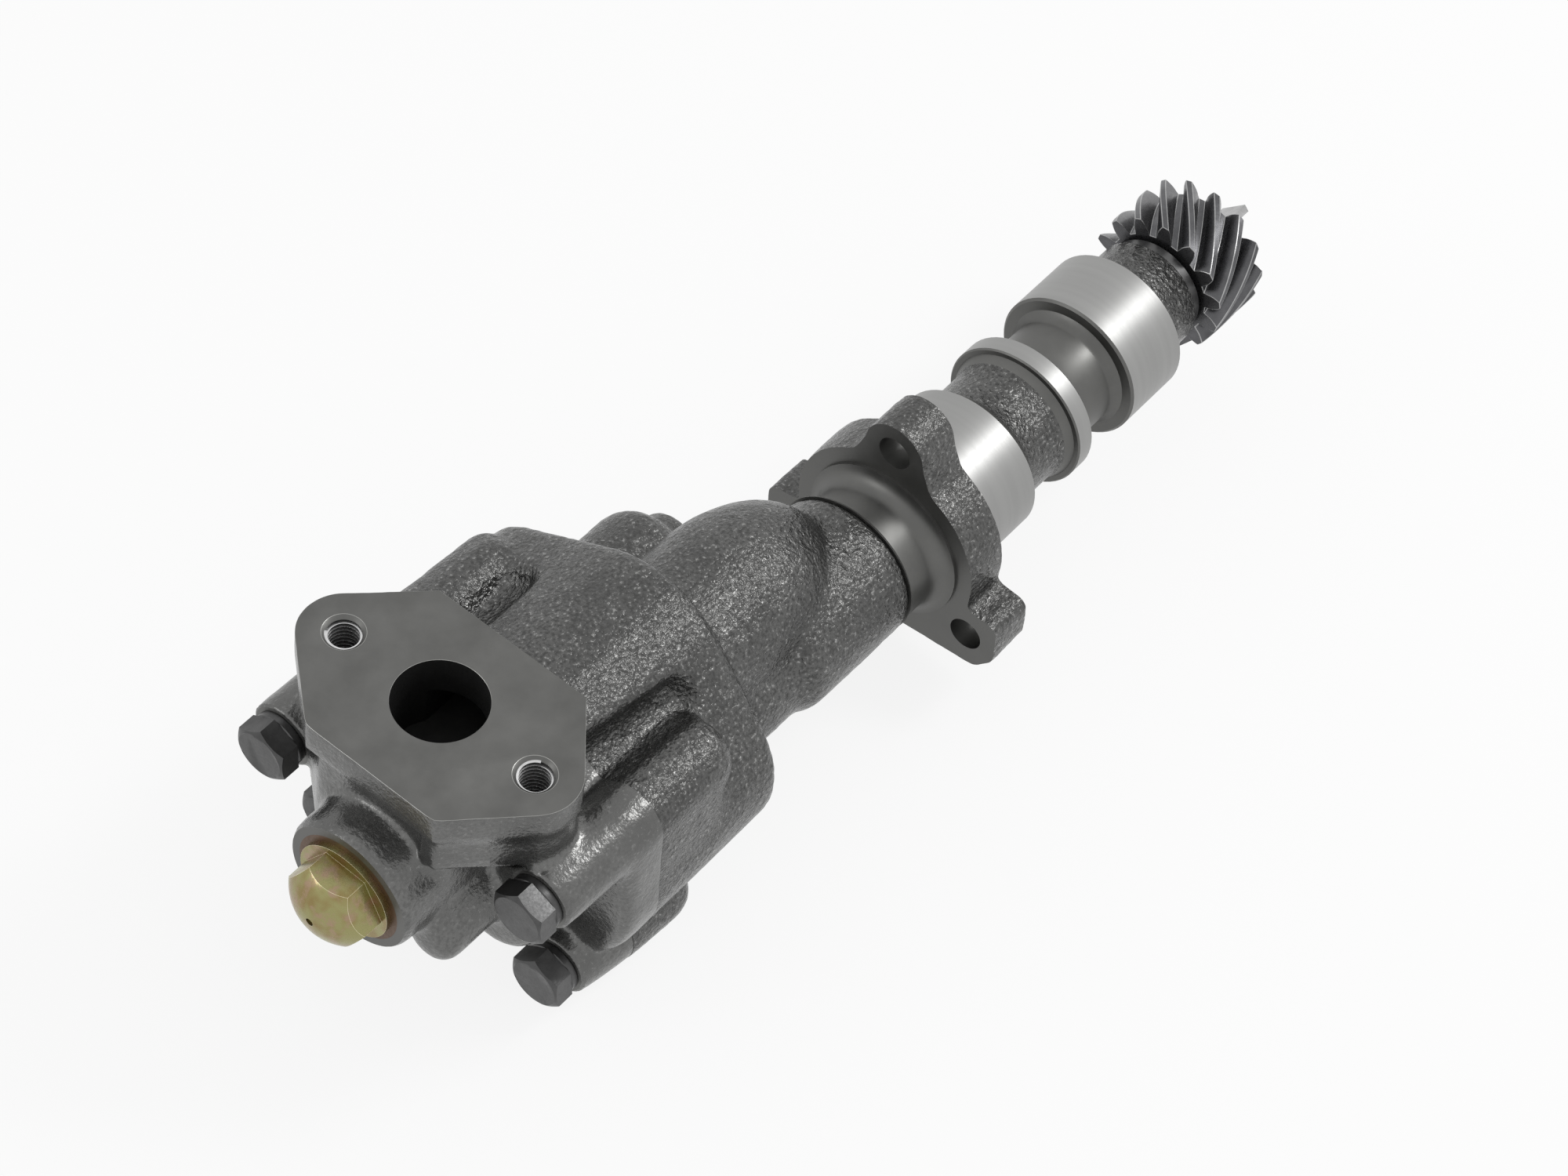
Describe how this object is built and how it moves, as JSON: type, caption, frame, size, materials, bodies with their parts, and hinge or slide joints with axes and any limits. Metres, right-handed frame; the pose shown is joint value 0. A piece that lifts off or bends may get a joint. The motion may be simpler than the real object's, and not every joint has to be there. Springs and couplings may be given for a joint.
{
  "type": "engine oil pump",
  "caption": "Engine oil pump: cast gear body with a flanged inlet and relief valve plug, and a flanged journal neck that carries a helical drive gear.",
  "frame": {"origin": "on the drive shaft axis, in the plane of the mounting flange seating face", "axes": "+X along the drive shaft from the pump body to the helical gear, +Z out of the inlet face, +Y towards the driven gear"},
  "size_m": [0.3265, 0.0995, 0.0884],
  "materials": {
    "cast_iron_body": "rough sand casting with ground journals and machined faces",
    "cast_iron_cover": "rough sand casting with a machined inlet face",
    "shaft_steel": "ground",
    "gear_steel": "dark hardened teeth",
    "sintered_gear": "oiled sintered steel",
    "bronze": "machined bearing bronze",
    "spring_steel": "oiled",
    "black_bolts": "black oxide",
    "plug_zinc": "yellow passivated zinc",
    "seal_copper": "soft copper"
  },
  "bodies": {
    "pump_body": {"pump_housing": "cast_iron_body", "pump_cover": "cast_iron_cover", "thrust_washer": "shaft_steel", "upper_neck_bush": "bronze", "lower_neck_bush": "bronze", "cover_bush": "bronze", "idler_shaft": "shaft_steel", "relief_spring": "spring_steel", "relief_plug": "plug_zinc", "plug_seal_ring": "seal_copper", "long_cover_bolts": "black_bolts", "short_cover_bolts": "black_bolts", "spring_washers": "black_bolts", "dowel_sleeves": "shaft_steel"},
    "drive_train": {"drive_shaft": "shaft_steel", "helical_gear": "gear_steel", "helical_gear_key": "shaft_steel", "shaft_circlip": "spring_steel", "drive_pump_gear": "sintered_gear", "gear_key": "shaft_steel"},
    "driven_gear": {"driven_pump_gear": "sintered_gear", "idler_bush": "bronze"},
    "relief_valve": {"relief_piston": "shaft_steel"}
  },
  "joints": [
    {"name": "drive_shaft_spin", "type": "hinge", "parent": "pump_body", "child": "drive_train", "pos_m": [0, 0, 0], "axis": [1, 0, 0], "continuous": true},
    {"name": "driven_gear_spin", "type": "hinge", "parent": "pump_body", "child": "driven_gear", "pos_m": [-0.109, 0.036, 0], "axis": [1, 0, 0], "continuous": true},
    {"name": "relief_piston_slide", "type": "slide", "parent": "pump_body", "child": "relief_valve", "axis": [-1, 0, 0], "range_m": [0, 0.007], "stiffness_N_per_m": 3000, "springref_m": -0.01, "deforming": ["relief_spring"]}
  ],
  "couplings": [
    {"joint": "driven_gear_spin", "follows": "drive_shaft_spin", "ratio": -1}
  ]
}
